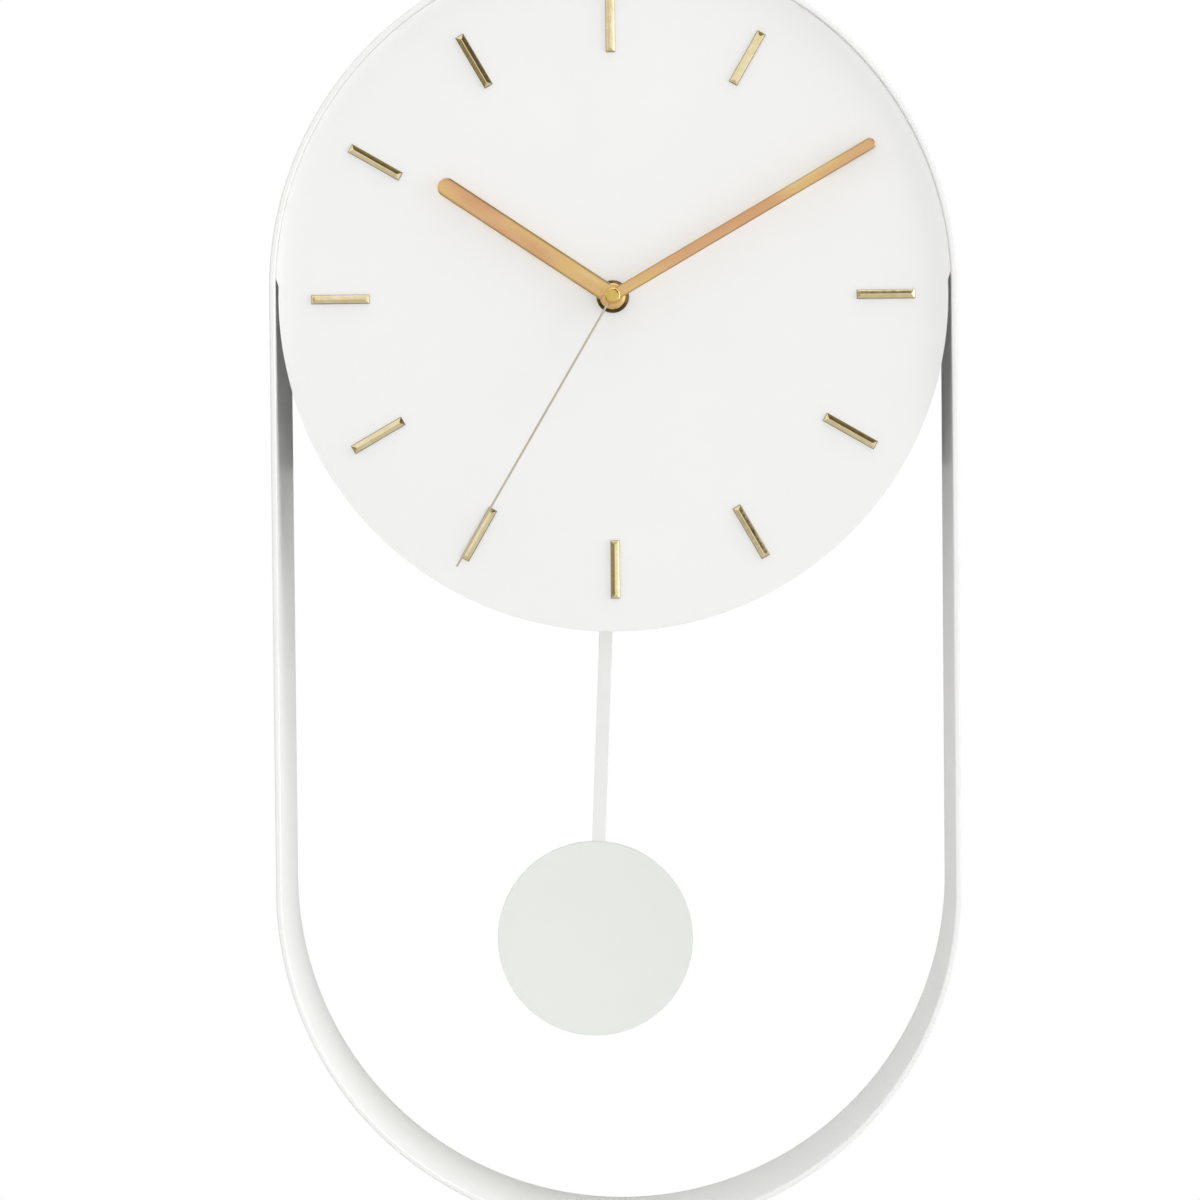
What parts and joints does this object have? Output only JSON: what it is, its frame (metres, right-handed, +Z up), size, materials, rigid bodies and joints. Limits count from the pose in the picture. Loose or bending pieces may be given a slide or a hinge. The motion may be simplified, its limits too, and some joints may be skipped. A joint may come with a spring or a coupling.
{
  "type": "pendulum wall clock",
  "caption": "Wall clock with a round white dial set in the top of a bent steel strip, gold bar markers and hands, a quartz movement behind and a disc pendulum in the open lower half.",
  "frame": {"origin": "centre of the keyhole slot's round top in the hanger bracket, on its back face, where the wall screw's shank sits", "axes": "+Z up the wall, +X to the right as the dial is read, +Y into the wall; the dial faces -Y"},
  "size_m": [0.224, 0.0524, 0.4211],
  "materials": {
    "strip_paint": "fine satin powder coat, warm white",
    "bob_paint": "fine matt powder coat, very slightly grey-green white",
    "hand_gold": "satin rose-gold anodised stamping with a fine lengthwise grain",
    "marker_brass": "polished, with a bevelled edge",
    "turned_brass": "turned, bright",
    "case_plastic": "fine spark-eroded black moulding",
    "wheel_plastic": "natural acetal, satin",
    "steel": "bright zinc plate",
    "washer_rubber": "matt black",
    "coil_copper": "lacquered copper winding wire",
    "magnet_ferrite": "sintered ferrite, dark grey",
    "board_laminate": "green solder-masked laminate",
    "battery_sleeve": "plain satin printed sleeve with a bright positive end"
  },
  "bodies": {
    "housing": {"frame_band": "strip_paint", "dial": "strip_paint", "marker_01": "marker_brass", "marker_02": "marker_brass", "marker_03": "marker_brass", "marker_04": "marker_brass", "marker_05": "marker_brass", "marker_06": "marker_brass", "marker_07": "marker_brass", "marker_08": "marker_brass", "marker_09": "marker_brass", "marker_10": "marker_brass", "marker_11": "marker_brass", "marker_12": "marker_brass", "hanger_bracket": "strip_paint", "dial_tab_right": "strip_paint", "dial_tab_top": "strip_paint", "dial_tab_left": "strip_paint", "dial_stud_right": "steel", "dial_stud_top": "steel", "dial_stud_left": "steel", "dial_nut_right": "steel", "dial_nut_top": "steel", "dial_nut_left": "steel", "front_nut": "turned_brass", "dial_washer": "washer_rubber", "case_front": "case_plastic", "case_back": "case_plastic", "centre_bushing": "turned_brass", "battery": "battery_sleeve", "contact_plus": "steel", "contact_minus": "steel", "circuit_board": "board_laminate", "ic_chip": "case_plastic", "quartz_crystal": "steel", "motor_stator": "steel", "motor_coil": "coil_copper", "drive_coil": "coil_copper", "pendulum_pin": "steel"},
    "second_train": {"second_hand": "hand_gold", "centre_cap": "marker_brass", "second_wheel": "steel"},
    "intermediate": {"intermediate_wheel": "wheel_plastic"},
    "rotor_body": {"rotor": "wheel_plastic", "rotor_magnet": "magnet_ferrite"},
    "third": {"third_wheel": "wheel_plastic"},
    "centre": {"centre_wheel": "wheel_plastic"},
    "minute": {"minute_hand": "hand_gold", "minute_pipe": "turned_brass"},
    "motion_work": {"minute_wheel": "wheel_plastic"},
    "hour": {"hour_hand": "hand_gold", "hour_wheel": "wheel_plastic"},
    "setter": {"setting_shaft": "wheel_plastic", "setting_knob": "case_plastic"},
    "pendulum": {"pendulum_lever": "wheel_plastic", "drive_magnet": "magnet_ferrite", "pendulum_rod": "strip_paint", "bob": "bob_paint", "bob_rivet": "steel"}
  },
  "joints": [
    {"name": "second_spin", "type": "hinge", "parent": "housing", "child": "second_train", "pos_m": [0, -0.04, -0.07], "axis": [0, 1, 0], "continuous": true},
    {"name": "intermediate_spin", "type": "hinge", "parent": "housing", "child": "intermediate", "pos_m": [-0.00789, -0.0355, -0.07287], "axis": [0, 1, 0], "continuous": true},
    {"name": "rotor_spin", "type": "hinge", "parent": "housing", "child": "rotor_body", "pos_m": [-0.01509, -0.033, -0.07287], "axis": [0, 1, 0], "continuous": true},
    {"name": "third_spin", "type": "hinge", "parent": "housing", "child": "third", "pos_m": [-0.0054, -0.038, -0.06065], "axis": [0, 1, 0], "continuous": true},
    {"name": "centre_spin", "type": "hinge", "parent": "housing", "child": "centre", "pos_m": [0, -0.0385, -0.07], "axis": [0, 1, 0], "continuous": true},
    {"name": "minute_spin", "type": "hinge", "parent": "housing", "child": "minute", "pos_m": [0, -0.044, -0.07], "axis": [0, 1, 0], "continuous": true},
    {"name": "motion_spin", "type": "hinge", "parent": "housing", "child": "motion_work", "pos_m": [0.009, -0.0405, -0.07], "axis": [0, 1, 0], "continuous": true},
    {"name": "hour_spin", "type": "hinge", "parent": "housing", "child": "hour", "pos_m": [0, -0.044, -0.07], "axis": [0, 1, 0], "continuous": true},
    {"name": "setter_spin", "type": "hinge", "parent": "housing", "child": "setter", "pos_m": [0.0135, -0.032, -0.07779], "axis": [0, 1, 0], "continuous": true},
    {"name": "pendulum_swing", "type": "hinge", "parent": "housing", "child": "pendulum", "pos_m": [0, -0.024, -0.094], "axis": [0, 1, 0], "range_deg": [-7, 2]}
  ],
  "couplings": [
    {"joint": "intermediate_spin", "follows": "second_spin", "ratio": -6},
    {"joint": "rotor_spin", "follows": "second_spin", "ratio": 30},
    {"joint": "third_spin", "follows": "second_spin", "ratio": -0.13333},
    {"joint": "centre_spin", "follows": "second_spin", "ratio": 0.016667},
    {"joint": "motion_spin", "follows": "minute_spin", "ratio": -0.33333},
    {"joint": "hour_spin", "follows": "minute_spin", "ratio": 0.083333},
    {"joint": "setter_spin", "follows": "minute_spin", "ratio": 1}
  ]
}
